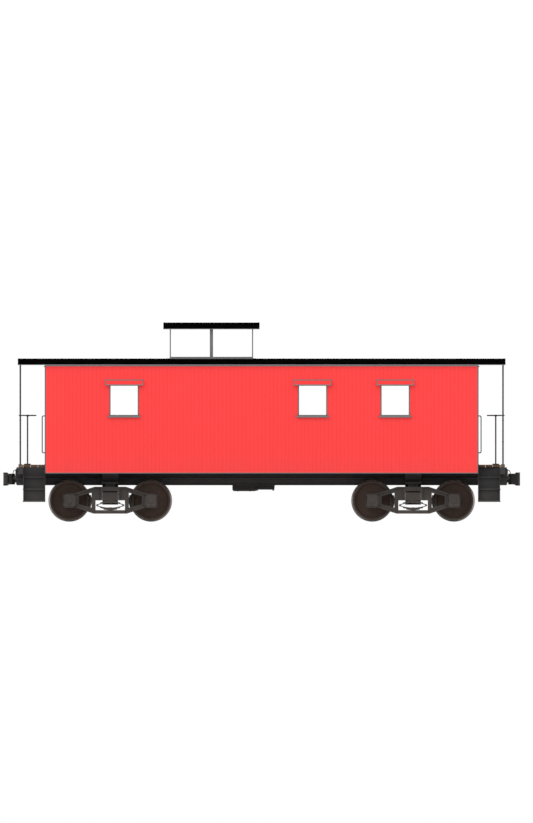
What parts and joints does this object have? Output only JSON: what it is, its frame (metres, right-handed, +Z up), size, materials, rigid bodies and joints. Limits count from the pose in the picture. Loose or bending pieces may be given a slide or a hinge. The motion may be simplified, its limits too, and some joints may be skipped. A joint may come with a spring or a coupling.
{
  "type": "eight-wheel caboose rail car",
  "caption": "Red caboose rail car with a glazed cupola, end platforms, swivelling trucks and inward-opening end doors.",
  "frame": {"origin": "middle of the car's length and width, at the level of the wheel flange tips", "axes": "+X along the track towards the front platform, +Y to the left side, +Z up"},
  "size_m": [10.92, 3.09, 4.2112],
  "materials": {
    "red_boards": "painted",
    "roof_black": "painted canvas",
    "trim_grey": "satin paint",
    "glass": "clear",
    "frame_black": "satin paint",
    "cast_black": "painted casting",
    "wheel_steel": "worn tread",
    "boards": "oiled boards",
    "inside_wood": "painted boards",
    "seat_cover": "worn"
  },
  "bodies": {
    "car": {"centre_sill": "frame_black", "side_sills": "frame_black", "body_bolsters": "frame_black", "cross_bearers": "frame_black", "body_end_sills": "frame_black", "platform_end_sills": "frame_black", "floor": "boards", "platform_decks": "boards", "steps": "frame_black", "side_wall_left": "red_boards", "side_wall_right": "red_boards", "end_wall_front": "red_boards", "end_wall_rear": "red_boards", "roof": "roof_black", "cupola_frame": "trim_grey", "cupola_roof": "roof_black", "cupola_glass": "glass", "window_sashes": "trim_grey", "window_glass": "glass", "window_hoods": "red_boards", "window_sills": "trim_grey", "end_railings": "frame_black", "grab_irons": "frame_black", "hand_brakes": "frame_black", "couplers": "cast_black", "knuckles": "cast_black", "uncoupling_levers": "frame_black", "brake_cylinder": "cast_black", "brake_pipe": "frame_black", "angle_cocks": "cast_black", "cupola_lockers": "inside_wood", "cupola_seats": "seat_cover", "benches": "inside_wood", "desk": "inside_wood"},
    "door_front": {"door_front": "red_boards", "door_glass_front": "glass"},
    "door_rear": {"door_rear": "red_boards", "door_glass_rear": "glass"},
    "truck_front": {"truck_front_side_frames": "cast_black", "truck_front_bolster": "cast_black", "truck_front_springs": "cast_black", "truck_front_brakes": "cast_black"},
    "truck_rear": {"truck_rear_side_frames": "cast_black", "truck_rear_bolster": "cast_black", "truck_rear_springs": "cast_black", "truck_rear_brakes": "cast_black"},
    "wheelset_1": {"wheels_1": "wheel_steel", "axle_1": "wheel_steel"},
    "wheelset_2": {"wheels_2": "wheel_steel", "axle_2": "wheel_steel"},
    "wheelset_3": {"wheels_3": "wheel_steel", "axle_3": "wheel_steel"},
    "wheelset_4": {"wheels_4": "wheel_steel", "axle_4": "wheel_steel"}
  },
  "joints": [
    {"name": "truck_front_swivel", "type": "hinge", "parent": "car", "child": "truck_front", "pos_m": [3.2, 0, 0.68], "axis": [0, 0, 1], "range_deg": [-8, 8]},
    {"name": "truck_rear_swivel", "type": "hinge", "parent": "car", "child": "truck_rear", "pos_m": [-3.2, 0, 0.68], "axis": [0, 0, 1], "range_deg": [-8, 8]},
    {"name": "wheelset_1_spin", "type": "hinge", "parent": "truck_front", "child": "wheelset_1", "pos_m": [4.0635, 0, 0.4445], "axis": [0, 1, 0], "continuous": true},
    {"name": "wheelset_2_spin", "type": "hinge", "parent": "truck_front", "child": "wheelset_2", "pos_m": [2.3365, 0, 0.4445], "axis": [0, 1, 0], "continuous": true},
    {"name": "wheelset_3_spin", "type": "hinge", "parent": "truck_rear", "child": "wheelset_3", "pos_m": [-2.3365, 0, 0.4445], "axis": [0, 1, 0], "continuous": true},
    {"name": "wheelset_4_spin", "type": "hinge", "parent": "truck_rear", "child": "wheelset_4", "pos_m": [-4.0635, 0, 0.4445], "axis": [0, 1, 0], "continuous": true},
    {"name": "door_front_hinge", "type": "hinge", "parent": "car", "child": "door_front", "pos_m": [4.461, 0.385, 2.2], "axis": [0, 0, -1], "range_deg": [0, 95]},
    {"name": "door_rear_hinge", "type": "hinge", "parent": "car", "child": "door_rear", "pos_m": [-4.461, -0.385, 2.2], "axis": [0, 0, -1], "range_deg": [0, 95]}
  ]
}
